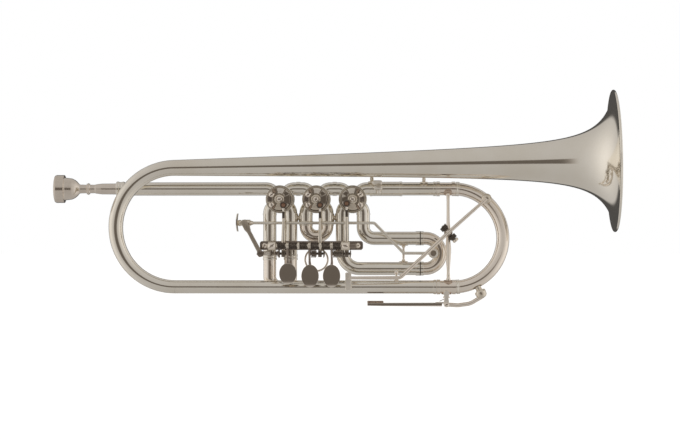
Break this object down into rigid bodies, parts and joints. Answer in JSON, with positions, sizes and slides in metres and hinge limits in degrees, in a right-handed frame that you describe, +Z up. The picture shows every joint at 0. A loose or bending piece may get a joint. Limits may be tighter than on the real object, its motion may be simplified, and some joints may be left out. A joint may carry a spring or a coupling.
{
  "type": "rotary valve trumpet",
  "caption": "Silver-plated brass wind instrument with a long flared bell, rotary valves worked by finger levers, pull-out tuning slides, a thumb trigger, a vent key and a water key.",
  "frame": {"origin": "centre of the bounding box at rest", "axes": "+X from the mouthpiece towards the bell's mouth, +Z up towards the bell, -Y towards the finger levers and the player"},
  "size_m": [0.5473, 0.1376, 0.2106],
  "materials": {
    "silver_body": "silver plate on brass, bright polish",
    "silver_slide": "silver plate on brass, polished slides",
    "silver_lever": "silver plate on nickel silver, polished levers and rods",
    "rotor_metal": "machined bronze, satin",
    "dark_steel": "dark oxidised spring steel",
    "cork": "natural cork, matt"
  },
  "bodies": {
    "horn": {"leadpipe": "silver_body", "receiver": "silver_body", "valve_casing_1": "silver_body", "valve_casing_2": "silver_body", "valve_casing_3": "silver_body", "stop_plate_1": "silver_body", "stop_plate_2": "silver_body", "stop_plate_3": "silver_body", "rear_bearings": "rotor_metal", "valve_caps": "silver_body", "corks": "cork", "small_screws": "dark_steel", "knuckles": "silver_body", "first_outer_legs": "silver_body", "second_outer_legs": "silver_body", "third_outer_upper": "silver_body", "third_outer_lower": "silver_body", "main_outer_upper": "silver_body", "bottom_tube": "silver_body", "bell_bow": "silver_body", "bell_stem": "silver_body", "bell_flare": "silver_body", "hinge_plate": "silver_lever", "hinge_post_left": "silver_lever", "hinge_post_right": "silver_lever", "lever_axle": "dark_steel", "axle_collars": "silver_lever", "lever_springs": "dark_steel", "leg_braces": "silver_body", "front_bell_brace": "silver_body", "rear_bell_brace": "silver_body", "lyre_holder": "silver_body", "lyre_screw": "silver_body", "trigger_bracket": "silver_body", "third_outer_brace": "silver_body"},
    "valve_1": {"rotor_1": "rotor_metal", "stop_arm_1": "silver_lever"},
    "linkage_1": {"link_1": "silver_lever"},
    "finger_1": {"lever_1": "silver_lever"},
    "valve_2": {"rotor_2": "rotor_metal", "stop_arm_2": "silver_lever"},
    "linkage_2": {"link_2": "silver_lever"},
    "finger_2": {"lever_2": "silver_lever"},
    "valve_3": {"rotor_3": "rotor_metal", "stop_arm_3": "silver_lever"},
    "linkage_3": {"link_3": "silver_lever"},
    "finger_3": {"lever_3": "silver_lever"},
    "first_tuning": {"first_slide": "silver_slide"},
    "second_tuning": {"second_slide": "silver_slide"},
    "third_tuning": {"third_slide": "silver_slide", "trigger_rod": "silver_lever"},
    "trigger_swing": {"trigger_arm": "silver_lever"},
    "main_tuning": {"main_slide": "silver_slide", "main_slide_brace": "silver_lever", "vent_key_springs": "dark_steel", "water_key_post": "silver_body", "water_key_spring": "dark_steel"},
    "overblow_key": {"vent_key": "silver_lever"},
    "drain_key": {"water_key": "silver_lever"},
    "mouth_piece": {"mouthpiece": "silver_slide"}
  },
  "joints": [
    {"name": "lever_1_press", "type": "hinge", "parent": "horn", "child": "finger_1", "pos_m": [-0.0452, -0.02235, -0.0457], "axis": [1, 0, 0], "range_deg": [0, 32], "stiffness_Nm_per_rad": 0.04, "springref_deg": -22.92},
    {"name": "lever_2_press", "type": "hinge", "parent": "horn", "child": "finger_2", "pos_m": [-0.024, -0.02235, -0.0457], "axis": [1, 0, 0], "range_deg": [0, 32], "stiffness_Nm_per_rad": 0.04, "springref_deg": -22.92},
    {"name": "lever_3_press", "type": "hinge", "parent": "horn", "child": "finger_3", "pos_m": [-0.0027, -0.02235, -0.0457], "axis": [1, 0, 0], "range_deg": [0, 32], "stiffness_Nm_per_rad": 0.04, "springref_deg": -22.92},
    {"name": "rotor_1_turn", "type": "hinge", "parent": "horn", "child": "valve_1", "pos_m": [-0.054, 0.015, -0.0007], "axis": [0, -1, 0], "range_deg": [0, 90]},
    {"name": "link_1_swing", "type": "hinge", "parent": "valve_1", "child": "linkage_1", "pos_m": [-0.04989, -0.0053, -0.00636], "axis": [0, 1, 0], "range_deg": [0, 93.5]},
    {"name": "rotor_2_turn", "type": "hinge", "parent": "horn", "child": "valve_2", "pos_m": [-0.0185, 0.015, -0.0007], "axis": [0, -1, 0], "range_deg": [0, 90]},
    {"name": "link_2_swing", "type": "hinge", "parent": "valve_2", "child": "linkage_2", "pos_m": [-0.01439, -0.0053, -0.00636], "axis": [0, 1, 0], "range_deg": [0, 93.5]},
    {"name": "rotor_3_turn", "type": "hinge", "parent": "horn", "child": "valve_3", "pos_m": [0.017, 0.015, -0.0007], "axis": [0, 1, 0], "range_deg": [0, 90]},
    {"name": "link_3_swing", "type": "hinge", "parent": "valve_3", "child": "linkage_3", "pos_m": [0.01141, -0.0053, -0.00491], "axis": [0, -1, 0], "range_deg": [0, 90]},
    {"name": "third_slide_travel", "type": "slide", "parent": "horn", "child": "third_tuning", "axis": [1, 0, 0], "range_m": [0, 0.013]},
    {"name": "trigger_arm_swing", "type": "hinge", "parent": "horn", "child": "trigger_swing", "pos_m": [-0.0723, -0.0008, -0.0534], "axis": [0, 1, 0], "range_deg": [0, 22.73]},
    {"name": "first_slide_pull", "type": "slide", "parent": "horn", "child": "first_tuning", "axis": [0, 0, -1], "range_m": [0, 0.022]},
    {"name": "second_slide_pull", "type": "slide", "parent": "horn", "child": "second_tuning", "axis": [0, 0, -1], "range_m": [0, 0.007]},
    {"name": "main_slide_pull", "type": "slide", "parent": "horn", "child": "main_tuning", "axis": [1, 0, 0], "range_m": [0, 0.02]},
    {"name": "vent_key_press", "type": "hinge", "parent": "main_tuning", "child": "overblow_key", "pos_m": [0.1098, -0.0014, -0.033], "axis": [0.6833, 0, -0.7301], "range_deg": [0, 2.5], "stiffness_Nm_per_rad": 0.4, "springref_deg": -11.46},
    {"name": "water_key_press", "type": "hinge", "parent": "main_tuning", "child": "drain_key", "pos_m": [0.108, 0, -0.1027], "axis": [0, 1, 0], "range_deg": [0, 5], "stiffness_Nm_per_rad": 0.3, "springref_deg": -11.46},
    {"name": "mouthpiece_pull", "type": "slide", "parent": "horn", "child": "mouth_piece", "axis": [-1, 0, 0], "range_m": [0, 0.026]}
  ],
  "couplings": [
    {"joint": "rotor_1_turn", "follows": "lever_1_press", "ratio": 2.8125},
    {"joint": "link_1_swing", "follows": "lever_1_press", "ratio": 2.9219},
    {"joint": "rotor_2_turn", "follows": "lever_2_press", "ratio": 2.8125},
    {"joint": "link_2_swing", "follows": "lever_2_press", "ratio": 2.9219},
    {"joint": "rotor_3_turn", "follows": "lever_3_press", "ratio": 2.8125},
    {"joint": "link_3_swing", "follows": "lever_3_press", "ratio": 2.8125},
    {"joint": "trigger_arm_swing", "follows": "third_slide_travel", "rad_per_m": 30.515}
  ]
}
